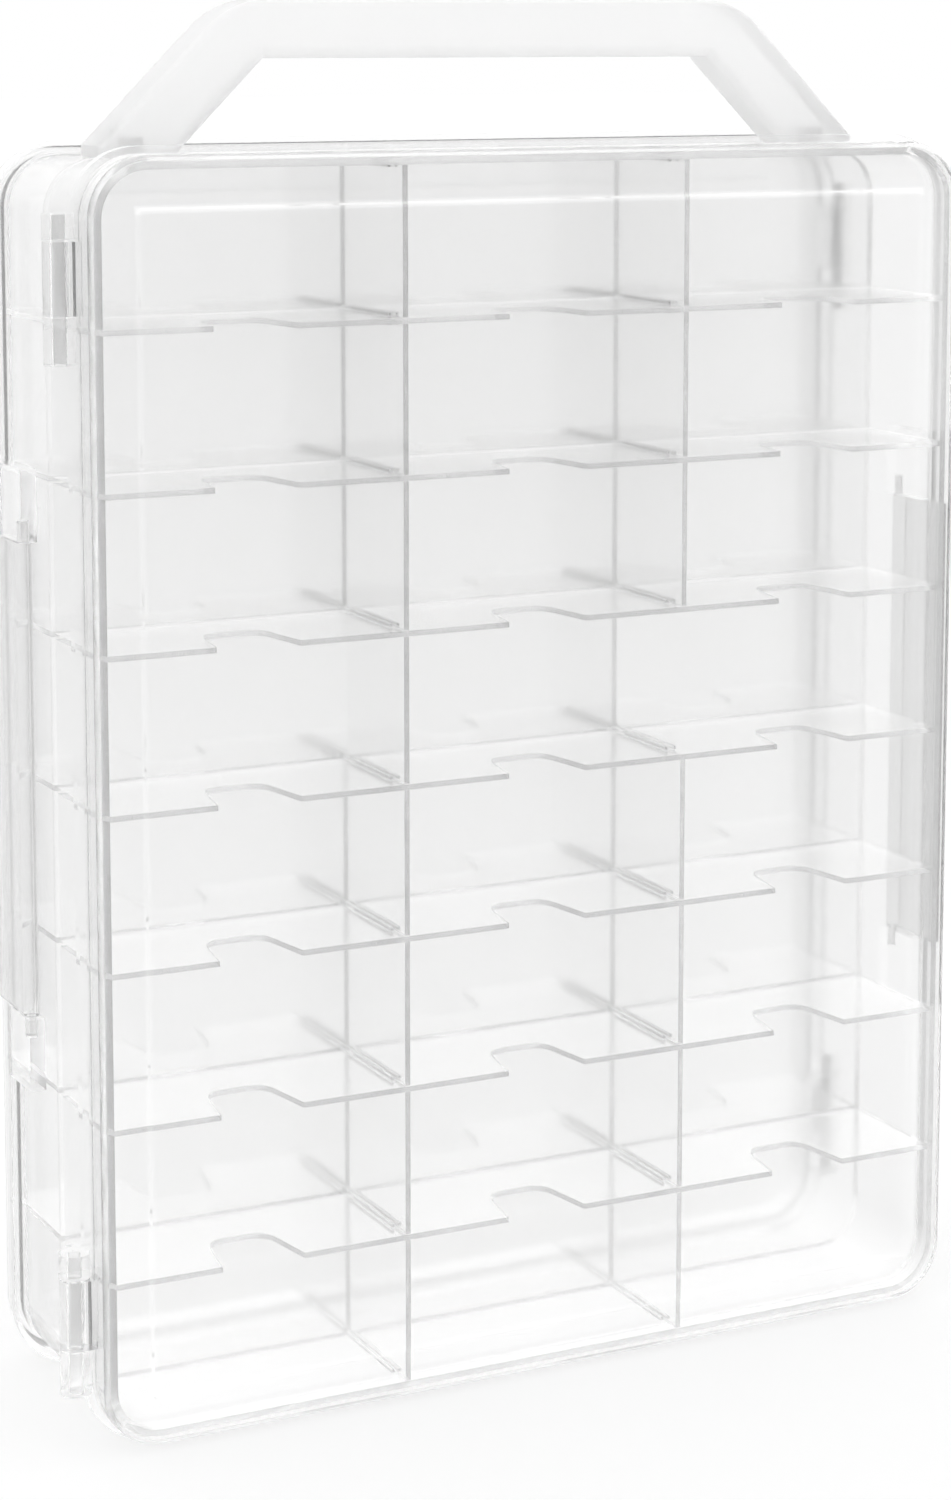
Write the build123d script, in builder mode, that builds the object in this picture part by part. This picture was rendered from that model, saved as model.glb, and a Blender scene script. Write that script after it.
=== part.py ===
from build123d import *
import os

# Double-sided bobbin storage case. Two shallow trays stand back to back on their narrow edge. Each has
# shelves, loose divider plates, a hinged cover and a long latch, and one carry handle joins them on top.
# Millimetres, +Z up, front towards -Y, origin at the middle of the footprint. Every piece is drawn for
# the front half, and the rear half is the front half after half a turn about the Z axis.

# Compartment grid
row_count = 8
column_count = 3
row_pitch = 38.1
column_pitch = 77.6
shelf_thickness = 1.4
divider_thickness = 1.4
open_row = 4
open_divider = "right"
finger_notch_mouth = 21.6
finger_notch_floor = 15.6
finger_notch_depth = 18.2
finger_notch_radius = 5.0

# Trays
tray_wall = 1.6
web_thickness = 1.4
tray_joint_gap = 0.1
tray_depth = 35.4
cavity_radius = 11.5
flange_overhang = 1.6
flange_thickness = 2.8

# Guide ribs that hold each divider plate by its upper and lower edge
rib_size = 0.8
rib_front_setback = 6.5
divider_side_clearance = 0.1
divider_end_clearance = 0.1

# Covers
cover_thickness = 1.6
cover_skirt = 1.5
cover_skirt_length = 9.8
cover_side_clearance = 0.4
cover_head_gap = 1.0
cover_seam_gap = 0.3
cover_edge_radius = 2.4
panel_side_margin = 11.4
panel_end_margin = 12.2
panel_rise = 0.6
panel_corner_radius = 1.5
panel_bevel_angle = 35.0

# Barrel hinges, two on each cover
knuckle_radius = 3.8
hinge_length = 35.0
hinge_end_margin = 13.5
lower_knuckle_length = 11.0
upper_knuckle_length = 6.0
knuckle_end_gap = 0.4
knuckle_skirt_gap = 0.5
knuckle_flange_gap = 0.4
hinge_pin_radius = 1.5
hinge_pin_running_clearance = 0.06
hinge_pin_seat_clearance = 0.03
hinge_pin_setback = 0.3

# Latches
latch_length = 118.8
latch_reach = 19.5
latch_plate_thickness = 1.4
latch_plate_standoff = 0.7
latch_lip_gap = 0.3
latch_lip_length = 1.1
latch_pivot_depth = 12.0
latch_barrel_radius = 2.0
latch_barrel_wall_gap = 0.3
latch_end_gap = 0.4
trunnion_radius = 1.2
trunnion_length = 5.0
trunnion_running_clearance = 0.06
trunnion_end_gap = 0.5
ear_length = 18.2
ear_behind_pivot = 3.6
ear_height = 4.1

# Carry handle
handle_rise = 34.4
handle_thickness = 14.0
grip_thickness = 14.5
grip_half_length = 70.3
arm_width = 15.9
foot_side_height = 2.75
handle_outer_bend = 24.0
handle_inner_bend = 18.0
handle_outer_fillet = 1.4
handle_inner_fillet = 3.0
stud_radius = 2.0
stud_height = 4.5
stud_depth = 3.8
stud_side_clearance = 0.05
stud_end_clearance = 0.4
foot_gap = 0.05

# How close a corner or edge lies to the place that it is looked for
match_tolerance = 0.1

# Sizes and places that follow
cell_height = row_pitch - shelf_thickness
cavity_width = column_count * column_pitch - divider_thickness
cavity_height = row_count * row_pitch - shelf_thickness
wall_width = cavity_width + 2 * tray_wall
wall_height = cavity_height + 2 * tray_wall
wall_radius = cavity_radius + tray_wall
skirt_offset = cover_side_clearance + cover_skirt
cover_width = wall_width + 2 * skirt_offset
cover_height = wall_height + 2 * skirt_offset
cover_radius = wall_radius + skirt_offset
flange_width = cover_width + 2 * flange_overhang
flange_height = cover_height + 2 * flange_overhang
flange_radius = cover_radius + flange_overhang
mid_height = flange_height / 2
wall_top = mid_height + wall_height / 2

# Depths, measured from the mid-plane towards the cover's face
tray_back_depth = tray_joint_gap / 2
cover_inner_depth = tray_depth + cover_head_gap
cover_face_depth = cover_inner_depth + cover_thickness
skirt_edge_depth = cover_face_depth - cover_skirt_length
flange_front_depth = skirt_edge_depth - cover_seam_gap
flange_rear_depth = flange_front_depth - flange_thickness

hinge_x = -(cover_width / 2 + knuckle_skirt_gap + knuckle_radius)
hinge_depth = (skirt_edge_depth + flange_front_depth) / 2
hinge_offset = cover_height / 2 - hinge_end_margin - hinge_length / 2
hinge_heights = {"lower": mid_height - hinge_offset, "upper": mid_height + hinge_offset}
latch_x = wall_width / 2 + latch_barrel_wall_gap + latch_barrel_radius
latch_plate_x = cover_width / 2 + latch_plate_standoff + latch_plate_thickness / 2

column_middles = [(i - (column_count - 1) / 2) * column_pitch for i in range(column_count)]
divider_middles = [(i - (column_count - 2) / 2) * column_pitch for i in range(column_count - 1)]
shelf_middles = [(i - (row_count - 2) / 2) * row_pitch for i in range(row_count - 1)]
row_middles = [((row_count - 1) / 2 - i) * row_pitch for i in range(row_count)]
divider_names = ("left", "right")

foot_height = wall_top + foot_gap
handle_top = flange_height + handle_rise
grip_underside = handle_top - grip_thickness
outer_slant = grip_half_length + handle_top
inner_slant = outer_slant - arm_width * 2 ** 0.5
foot_half_span = outer_slant - foot_height - foot_side_height
foot_inner_half_span = inner_slant - foot_height
stud_half_span = (foot_half_span + foot_inner_half_span) / 2


def face_plane(depth):
    """Upright plane at a depth: x to the right, y up from the middle, normal towards the viewer."""
    return Plane(origin=(0, -depth, mid_height), x_dir=(1, 0, 0), z_dir=(0, -1, 0))


def plan_plane(height):
    """Level plane at a height: x to the right, and depth is minus y."""
    return Plane(origin=(0, 0, height), x_dir=(1, 0, 0), z_dir=(0, 0, 1))


def knuckle_spans(middle):
    """Heights of one hinge's knuckles: the tray's lower one, the cover's, the tray's upper one."""
    bottom = middle - hinge_length / 2
    top = middle + hinge_length / 2
    lower = (bottom, bottom + lower_knuckle_length)
    upper = (top - upper_knuckle_length, top)
    return lower, (lower[1] + knuckle_end_gap, upper[0] - knuckle_end_gap), upper


def make_tray():
    """One tray with its shelves, guide ribs, flange, hinge knuckles, latch ears and handle studs."""
    with BuildPart() as tray:
        # Wall and web
        with BuildSketch(face_plane(tray_back_depth)):
            RectangleRounded(wall_width, wall_height, wall_radius)
        extrude(amount=tray_depth - tray_back_depth)
        with BuildSketch(face_plane(web_thickness)):
            RectangleRounded(cavity_width, cavity_height, cavity_radius)
        extrude(amount=tray_depth, mode=Mode.SUBTRACT)

        # Shelves from wall to wall
        with BuildSketch(face_plane(web_thickness / 2)):
            with Locations([(0, y) for y in shelf_middles]):
                Rectangle(cavity_width + tray_wall, shelf_thickness)
        extrude(amount=tray_depth - web_thickness / 2)

        # Finger notches in every shelf, one in each column
        notch_front = -tray_depth - cover_head_gap
        notch_floor = -tray_depth + finger_notch_depth
        with BuildSketch(plan_plane(mid_height + shelf_middles[0] - shelf_thickness)):
            for x in column_middles:
                with BuildLine():
                    Polyline(
                        (x - finger_notch_mouth / 2, notch_front),
                        (x - finger_notch_mouth / 2, -tray_depth),
                        (x - finger_notch_floor / 2, notch_floor),
                        (x + finger_notch_floor / 2, notch_floor),
                        (x + finger_notch_mouth / 2, -tray_depth),
                        (x + finger_notch_mouth / 2, notch_front),
                        close=True,
                    )
                notch = make_face()
                floor_corners = notch.vertices().filter_by(lambda v: abs(v.Y - notch_floor) < match_tolerance)
                fillet(floor_corners, finger_notch_radius)
        extrude(amount=shelf_middles[-1] - shelf_middles[0] + 2 * shelf_thickness, mode=Mode.SUBTRACT)

        # Guide ribs on both flanks of each divider plate, on the shelves and on the end walls
        rib_step = (divider_thickness + rib_size) / 2 + divider_side_clearance
        rib_middles = [x + flank for x in divider_middles for flank in (-rib_step, rib_step)]
        with BuildSketch(face_plane(web_thickness / 2)):
            with Locations([(x, y) for x in rib_middles for y in shelf_middles]):
                Rectangle(rib_size, shelf_thickness + 2 * rib_size)
            with Locations([(x, end * cavity_height / 2) for x in rib_middles for end in (-1, 1)]):
                Rectangle(rib_size, 2 * rib_size)
        extrude(amount=tray_depth - rib_front_setback - web_thickness / 2)

        # Flange that the cover's skirt meets, cut flush with the cover behind the latch plate
        with BuildSketch(face_plane(flange_rear_depth)):
            RectangleRounded(flange_width, flange_height, flange_radius)
            RectangleRounded(
                cavity_width + tray_wall,
                cavity_height + tray_wall,
                cavity_radius + tray_wall / 2,
                mode=Mode.SUBTRACT,
            )
            with Locations((cover_width / 2 + flange_overhang, 0)):
                Rectangle(2 * flange_overhang, latch_length + 2 * latch_end_gap, mode=Mode.SUBTRACT)
        extrude(amount=flange_thickness)

        # Hinges: room for the cover's knuckles, then the tray's own knuckles on gussets
        gusset_width = -hinge_x - wall_width / 2 + tray_wall / 2
        for middle in hinge_heights.values():
            lower, _, upper = knuckle_spans(middle)
            with BuildSketch(plan_plane(lower[1])):
                with Locations((hinge_x, -hinge_depth)):
                    Circle(knuckle_radius + knuckle_flange_gap)
            extrude(amount=upper[0] - lower[1], mode=Mode.SUBTRACT)
            for bottom, top in (lower, upper):
                with BuildSketch(plan_plane(bottom)):
                    with Locations((hinge_x, -hinge_depth)):
                        Circle(knuckle_radius)
                    with Locations((hinge_x, -flange_front_depth)):
                        Rectangle(gusset_width, knuckle_radius, align=(Align.MIN, Align.MIN))
                    with Locations((hinge_x, -hinge_depth)):
                        Circle(hinge_pin_radius + hinge_pin_seat_clearance, mode=Mode.SUBTRACT)
                extrude(amount=top - bottom)

        # Latch ears, each with a blind bore for one trunnion
        ear_depth = flange_rear_depth - latch_pivot_depth + ear_behind_pivot
        for end in (-1, 1):
            with BuildSketch(plan_plane(mid_height + end * (latch_length / 2 + latch_end_gap))):
                with Locations((wall_width / 2 - tray_wall / 2, -flange_rear_depth)):
                    Rectangle(ear_height + tray_wall / 2, ear_depth, align=(Align.MIN, Align.MIN))
            extrude(amount=end * ear_length)
            with BuildSketch(plan_plane(mid_height + end * latch_length / 2)):
                with Locations((latch_x, -latch_pivot_depth)):
                    Circle(trunnion_radius + trunnion_running_clearance)
            extrude(amount=end * (trunnion_length + trunnion_end_gap), mode=Mode.SUBTRACT)

        # Studs on the top wall that the handle's feet press onto
        with BuildSketch(plan_plane(wall_top - tray_wall / 2)):
            with Locations((-stud_half_span, -stud_depth), (stud_half_span, -stud_depth)):
                Circle(stud_radius)
        extrude(amount=stud_height + tray_wall / 2)
    return tray


def make_cover():
    """One cover: a shallow cap with a raised panel and two hinge knuckles on arms."""
    with BuildPart() as cover:
        with BuildSketch(face_plane(skirt_edge_depth)):
            RectangleRounded(cover_width, cover_height, cover_radius)
        extrude(amount=cover_skirt_length)
        fillet(cover.faces().sort_by(Axis.Y)[0].edges(), cover_edge_radius)
        with BuildSketch(face_plane(skirt_edge_depth)):
            RectangleRounded(
                cover_width - 2 * cover_skirt, cover_height - 2 * cover_skirt, cover_radius - cover_skirt
            )
        extrude(amount=cover_skirt_length - cover_thickness, mode=Mode.SUBTRACT)

        # Raised panel
        panel_width = cover_width - 2 * panel_side_margin
        panel_height = cover_height - 2 * panel_end_margin
        with BuildSketch(face_plane(cover_face_depth)):
            RectangleRounded(panel_width, panel_height, panel_corner_radius)
        extrude(amount=panel_rise, taper=panel_bevel_angle)

        # Knuckles
        arm_length = -hinge_x - cover_width / 2 + cover_skirt / 2
        for middle in hinge_heights.values():
            bottom, top = knuckle_spans(middle)[1]
            with BuildSketch(plan_plane(bottom)):
                with Locations((hinge_x, -hinge_depth)):
                    Circle(knuckle_radius)
                with Locations((hinge_x, -hinge_depth - cover_seam_gap)):
                    Rectangle(arm_length, knuckle_radius - cover_seam_gap, align=(Align.MIN, Align.MAX))
                with Locations((hinge_x, -hinge_depth)):
                    Circle(hinge_pin_radius + hinge_pin_running_clearance, mode=Mode.SUBTRACT)
            extrude(amount=top - bottom)
    return cover


def make_latch():
    """One latch: a long plate on a barrel, with a lip at its free edge and a trunnion at each end."""
    free_edge = -latch_pivot_depth - latch_reach
    lip_x = cover_width / 2 + latch_lip_gap
    with BuildPart() as latch:
        with BuildSketch(plan_plane(mid_height - latch_length / 2)):
            with Locations((latch_x, -latch_pivot_depth)):
                Circle(latch_barrel_radius)
            with Locations((latch_plate_x, free_edge)):
                Rectangle(latch_plate_thickness, latch_reach, align=(Align.CENTER, Align.MIN))
            with Locations((lip_x, free_edge)):
                Rectangle(latch_plate_x - lip_x, latch_lip_length, align=(Align.MIN, Align.MIN))
        extrude(amount=latch_length)
        with BuildSketch(plan_plane(mid_height - latch_length / 2 - trunnion_length)):
            with Locations((latch_x, -latch_pivot_depth)):
                Circle(trunnion_radius)
        extrude(amount=latch_length + 2 * trunnion_length)
    return latch


def make_divider(x, y):
    """One divider plate between two shelves."""
    with BuildPart() as divider:
        with BuildSketch(face_plane(web_thickness + divider_end_clearance)):
            with Locations((x, y)):
                Rectangle(divider_thickness, cell_height - 2 * divider_end_clearance)
        extrude(amount=tray_depth - web_thickness - 2 * divider_end_clearance)
    return divider


def make_hinge_pin(middle):
    """One plain pin through the three knuckles of a hinge."""
    with BuildPart() as pin:
        with BuildSketch(plan_plane(middle - hinge_length / 2 + hinge_pin_setback)):
            with Locations((hinge_x, -hinge_depth)):
                Circle(hinge_pin_radius)
        extrude(amount=hinge_length - 2 * hinge_pin_setback)
    return pin


def level_edges(piece):
    """Edges of the handle's two flat faces, without those that run through its thickness."""
    return piece.edges().filter_by(lambda e: abs(e.tangent_at(0.5).Y) < 0.5)


def borders_outside(edge):
    """True for an edge on the handle's outer outline, above its feet."""
    point = edge.position_at(0.5)
    on_slant = abs(point.X) + point.Z > outer_slant - handle_outer_bend / 4
    on_top = abs(point.Z - handle_top) < match_tolerance
    on_foot_side = abs(abs(point.X) - foot_half_span) < match_tolerance
    return point.Z > foot_height + 1 and (on_slant or on_top or on_foot_side)


def borders_opening(edge):
    """True for an edge around the handle's finger opening."""
    point = edge.position_at(0.5)
    on_slant = abs(point.X) + point.Z < inner_slant + match_tolerance
    on_underside = abs(point.Z - grip_underside) < match_tolerance
    return point.Z > foot_height + 1 and (on_slant or on_underside)


def make_handle():
    """The carry handle: a straight grip on two slanted arms whose feet stand on both trays."""
    grip_inner = inner_slant - grip_underside
    with BuildPart() as handle:
        with BuildSketch(Plane.XZ.offset(-handle_thickness / 2)):
            with BuildLine():
                Polyline(
                    (-foot_half_span, foot_height),
                    (-foot_half_span, outer_slant - foot_half_span),
                    (-grip_half_length, handle_top),
                    (grip_half_length, handle_top),
                    (foot_half_span, outer_slant - foot_half_span),
                    (foot_half_span, foot_height),
                    (foot_inner_half_span, foot_height),
                    (grip_inner, grip_underside),
                    (-grip_inner, grip_underside),
                    (-foot_inner_half_span, foot_height),
                    close=True,
                )
            outline = make_face()
            corners = outline.vertices()
            outer_corners = corners.filter_by(lambda v: abs(v.Y - handle_top) < match_tolerance)
            inner_corners = corners.filter_by(lambda v: abs(v.Y - grip_underside) < match_tolerance)
            fillet(outer_corners, handle_outer_bend)
            fillet(inner_corners, handle_inner_bend)
        extrude(amount=handle_thickness)
        fillet(level_edges(handle).filter_by(borders_outside), handle_outer_fillet)
        fillet(level_edges(handle).filter_by(borders_opening), handle_inner_fillet)

        # Blind sockets for the studs of both trays
        with BuildSketch(plan_plane(foot_height)):
            with GridLocations(2 * stud_half_span, 2 * stud_depth, 2, 2):
                Circle(stud_radius + stud_side_clearance)
        extrude(amount=stud_height + stud_end_clearance, mode=Mode.SUBTRACT)
    return handle


def write(piece, name):
    """Label one finished piece and write its file."""
    piece.label = name
    export_step(piece, f"parts/{name}.step")


def write_both_halves(piece, name):
    """Write a piece of the front half, and the same piece of the rear half."""
    write(piece, f"front_{name}")
    write(piece.rotate(Axis.Z, 180), f"rear_{name}")


os.makedirs("parts", exist_ok=True)
write(make_handle().part, "carry_handle")
write_both_halves(make_tray().part, "tray")
write_both_halves(make_cover().part, "cover")
write_both_halves(make_latch().part, "latch")
for hinge_name, hinge_height in hinge_heights.items():
    write_both_halves(make_hinge_pin(hinge_height).part, f"{hinge_name}_hinge_pin")
for row, row_y in enumerate(row_middles, start=1):
    for divider_x, divider_name in zip(divider_middles, divider_names):
        if (row, divider_name) != (open_row, open_divider):
            write_both_halves(make_divider(divider_x, row_y).part, f"row_{row}_{divider_name}_divider")
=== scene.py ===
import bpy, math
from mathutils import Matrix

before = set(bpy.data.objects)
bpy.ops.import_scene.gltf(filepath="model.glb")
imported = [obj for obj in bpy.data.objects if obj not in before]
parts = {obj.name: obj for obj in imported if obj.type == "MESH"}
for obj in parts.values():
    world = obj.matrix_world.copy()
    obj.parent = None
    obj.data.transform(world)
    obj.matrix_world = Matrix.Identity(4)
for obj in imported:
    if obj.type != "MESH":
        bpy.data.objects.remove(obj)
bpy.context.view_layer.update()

# %% [markdown]
# A bobbin storage case of clear plastic stands upright on a white surface. It has two trays, back to back,
# each with a cover, a latch and two hinges, and one carry handle on top. The solid pieces come from the CAD
# model, which is loaded above. This file adds their finishes, the floor, the light and the camera.

# %% [markdown]
# Every finish is a network of shader nodes. One small class wraps a socket, so that sums and products of
# sockets can be written as plain Python expressions. One method adds any other kind of node.


# %% Shader helper
class Value:
    """A socket of a material's network that can be used in sums and products."""

    def __init__(self, tree, socket):
        self.tree = tree
        self.socket = socket

    def maths(self, operation, *others):
        node = self.tree.nodes.new("ShaderNodeMath")
        node.operation = operation
        for slot, value in enumerate((self, *others)):
            plug(self.tree, node.inputs[slot], value)
        return Value(self.tree, node.outputs[0])

    def __add__(self, other):
        return self.maths("ADD", other)

    def __mul__(self, other):
        return self.maths("MULTIPLY", other)

    def __sub__(self, other):
        return self.maths("SUBTRACT", other)

    def __rsub__(self, other):
        return (self * -1) + other

    __radd__ = __add__
    __rmul__ = __mul__


def plug(tree, socket, value):
    """Link a wrapped socket, or set a plain number or colour."""
    if isinstance(value, Value):
        tree.links.new(value.socket, socket)
    else:
        socket.default_value = value


class Network:
    """A material's or a world's tree of nodes, with a method that adds nodes to it."""

    def __init__(self, owner):
        self.owner = owner
        owner.use_nodes = True
        self.tree = owner.node_tree
        self.tree.nodes.clear()

    def node(self, kind, settings=None, output=0, **values):
        made = self.tree.nodes.new("ShaderNode" + kind)
        for key, value in (settings or {}).items():
            setattr(made, key, value)
        for key, value in values.items():
            plug(self.tree, made.inputs[key.replace("_", " ")], value)
        return Value(self.tree, made.outputs[output] if made.outputs else None)

    def surface(self, shader, kind="OutputMaterial"):
        self.node(kind, Surface=shader)
        return self.owner


# %% [markdown]
# Clear plastic shows by the way that its walls, ribs and edges bend the white background. Solid clear
# plastic has an index of refraction of about 1.5. With that full bend, the edges of so many thin walls
# render darker than they are in the photograph, so a weaker bend was chosen. A little milk in the
# plastic, which is the part that doesn't let light through, gives the soft grey of each wall. A trace of
# glow stands in for light that the model doesn't carry through so many walls. It grows towards the white
# table, is strong where a face turns up, and is weak where a face turns to the side. The mould's surface is
# slightly uneven, so a faint bump wobbles the reflections.

# %% Clear plastic
# Painted light: the glow's emission colour grows from glow_top down towards the table.
glow_top = 0.30
glow_at_top = 0.28
glow_from_table = 0.36
bump_strength = 0.05
bump_depth = 0.001
ripple_detail = 2.0


def clear_plastic(
    name, painted_glow, tint=1.0, bend=1.12, roughness=0.20, clearness=0.91,
    painted_light_from_above=1.2, painted_side_shade=0.0, ripple_size=0.020, edge=None,
):
    """A clear finish with painted glow; edge is a function that adds a painted highlight along a line on the
    piece.
    """
    finish = Network(bpy.data.materials.new(name))
    place = finish.node("TexCoord", output=3)
    facing = finish.node("TexCoord", output=1)
    ripple = finish.node("TexNoise", Vector=place, Scale=1 / ripple_size, Detail=ripple_detail, Roughness=0.5)
    bump = finish.node("Bump", Strength=bump_strength, Distance=bump_depth, Height=ripple)
    height = finish.node("SeparateXYZ", output=2, Vector=place)
    upward = finish.node("SeparateXYZ", output=2, Vector=facing).maths("MAXIMUM", 0.0)
    sideways = finish.node("SeparateXYZ", output=0, Vector=facing).maths("ABSOLUTE")
    low = finish.node("MapRange", Value=height, From_Min=glow_top, From_Max=0.0, To_Min=0.0, To_Max=1.0)
    # Painted light and shade: more glow towards the table and on faces that turn up, less on faces that turn
    # to the side.
    light = (glow_at_top + low * glow_from_table) * (1 - sideways * painted_side_shade) + upward * painted_light_from_above
    if edge:
        light = light + edge(finish, place)
    shader = finish.node(
        "BsdfPrincipled",
        Base_Color=(tint, tint, tint, 1),
        Roughness=roughness,
        IOR=bend,
        Transmission_Weight=clearness,
        Emission_Color=light,
        Emission_Strength=painted_glow,
        Normal=bump,
    )
    return finish.surface(shader)


# %% [markdown]
# Each cover has a raised panel. A painted highlight, a fine pale line of glow, stands for the light that the
# small step around it catches, and it is brightest along the top. Its place is measured on the cover's own
# mesh, so it follows the step.

# %% Painted panel highlight
flatness = 0.0001
front_face = min(v.co.y for v in parts["front_cover"].data.vertices)
panel = [v.co for v in parts["front_cover"].data.vertices if v.co.y < front_face + flatness]
panel_half_width = max(abs(p.x) for p in panel)
panel_top = max(p.z for p in panel)
panel_bottom = min(p.z for p in panel)
panel_middle = (panel_top + panel_bottom) / 2
panel_half_height = (panel_top - panel_bottom) / 2
line_width = 0.0012
# Strengths of the painted highlight: along the whole line, and extra along the top.
panel_highlight_glow = 1.4
top_highlight_glow = 3.2
print("panel in mm:", round(2000 * panel_half_width, 1), "by", round(2000 * panel_half_height, 1))


def painted_panel_highlight(finish, place):
    """A painted highlight: a pale line of glow around the panel, brighter along its top."""
    across = finish.node("SeparateXYZ", output=0, Vector=place).maths("ABSOLUTE") - panel_half_width
    height = finish.node("SeparateXYZ", output=2, Vector=place) - panel_middle
    along = height.maths("ABSOLUTE") - panel_half_height
    distance = across.maths("MAXIMUM", along).maths("ABSOLUTE")
    line = finish.node(
        "MapRange", Value=distance, From_Min=0.0, From_Max=line_width, To_Min=1.0, To_Max=0.0
    )
    top = height.maths("GREATER_THAN", panel_half_height - line_width)
    return line * (panel_highlight_glow + top * top_highlight_glow)


# %% [markdown]
# The trays are a little frosted, the covers and latches glossier, and the handle is milky. Each kind of
# piece gets its own values, and the last word of a piece's name says which kind it is.

# %% Finishes
finishes = {
    "tray": clear_plastic("clear_tray_plastic", painted_glow=0.066, painted_side_shade=1.0, ripple_size=0.030),
    # The covers get the painted panel highlight and strong painted light on faces that turn up.
    "cover": clear_plastic(
        "clear_cover_plastic", painted_glow=0.020, tint=0.98, bend=1.28, roughness=0.10,
        painted_light_from_above=5.0, painted_side_shade=0.5, ripple_size=0.060, edge=painted_panel_highlight,
    ),
    "divider": clear_plastic("clear_divider_plastic", painted_glow=0.085, clearness=0.92),
    "latch": clear_plastic(
        "clear_latch_plastic", painted_glow=0.020, tint=0.98, bend=1.28, roughness=0.15,
        clearness=0.85, painted_side_shade=1.0,
    ),
    "pin": clear_plastic("clear_pin_plastic", painted_glow=0.080, clearness=0.85),
    "handle": clear_plastic(
        "frosted_handle_plastic", painted_glow=0.014, bend=1.30, roughness=0.40, clearness=0.60, ripple_size=0.030
    ),
}
for name, piece in parts.items():
    kind = name.split("_")[-1]
    piece.data.materials.clear()
    piece.data.materials.append(finishes[kind])
print("pieces with a finish:", len(parts))

# %% [markdown]
# The floor is a wide white sheet that reaches far behind the case, so no horizon shows. Part of its light
# is its own, which keeps the shadow as faint as it is in the photograph.

# %% Floor
floor_size = 30
own_light_share = 0.68
own_light_strength = 1.06
bpy.ops.object.select_all(action="DESELECT")
bpy.ops.mesh.primitive_plane_add(size=floor_size, location=(0, 0, 0))
floor = bpy.context.object
floor.name = "floor"
sheet = Network(bpy.data.materials.new("white_floor"))
white = sheet.node("BsdfPrincipled", Base_Color=(1, 1, 1, 1), Roughness=1.0, Specular_IOR_Level=0.0)
own_light = sheet.node("Emission", Color=(1, 1, 1, 1), Strength=own_light_strength)
mix = sheet.tree.nodes.new("ShaderNodeMixShader")
mix.inputs[0].default_value = own_light_share
plug(sheet.tree, mix.inputs[1], white)
plug(sheet.tree, mix.inputs[2], own_light)
floor.data.materials.append(sheet.surface(Value(sheet.tree, mix.outputs[0])))
print("floor in metres:", floor_size)

# %% [markdown]
# The light is a plain white sky, as soft as a light tent. What a wall reflects or bends is a little greyer
# in front of the case than behind it, as a room behind a camera is, and this gives the clear plastic its
# grey lines.

# %% World
room_behind_camera = 0.90
greyest_ahead = -1.0
white_ahead = 0.3
world = bpy.data.worlds.new("studio")
bpy.context.scene.world = world
sky = Network(world)
ahead = sky.node("SeparateXYZ", output=1, Vector=sky.node("TexCoord", output=0))
level = sky.node(
    "MapRange",
    settings={"interpolation_type": "SMOOTHSTEP"},
    Value=ahead,
    From_Min=greyest_ahead,
    From_Max=white_ahead,
    To_Min=room_behind_camera,
    To_Max=1.0,
)
rays = sky.tree.nodes.new("ShaderNodeLightPath")
bent = Value(sky.tree, rays.outputs["Is Transmission Ray"])
seen = Value(sky.tree, rays.outputs["Is Glossy Ray"]).maths("MAXIMUM", bent)
background = sky.node("Background", Color=(1, 1, 1, 1), Strength=1 - seen * (1 - level))
sky.surface(background, "OutputWorld")
print("sky nodes:", len(sky.tree.nodes))

# %% [markdown]
# The camera stands in front of the case and to its left, as high as the handle, and looks slightly down.
# Its frame is shifted down a little, which keeps the upright edges nearly parallel as they are in the
# photograph. Light crosses many thin walls, so each ray may be followed through a dozen of them.

# %% Camera
camera_place = (-0.3808, -0.7621, 0.3405)
turn_to_right = 26.413
look_down = 7.404
lens_length = 80.48
sensor_height = 36
shift_down = 0.19
wall_crossings = 12
soft_bounces = 6
noise_limit = 0.08
bpy.ops.object.camera_add(
    location=camera_place,
    rotation=(math.radians(90 - look_down), 0, math.radians(-turn_to_right)),
)
camera = bpy.context.object
camera.data.lens = lens_length
camera.data.sensor_width = sensor_height
camera.data.shift_y = -shift_down

scene = bpy.context.scene
scene.camera = camera
scene.view_settings.view_transform = "Standard"
scene.cycles.max_bounces = wall_crossings
scene.cycles.transmission_bounces = wall_crossings
scene.cycles.diffuse_bounces = soft_bounces
scene.cycles.adaptive_threshold = noise_limit
print("camera lens in mm:", round(camera.data.lens, 1))
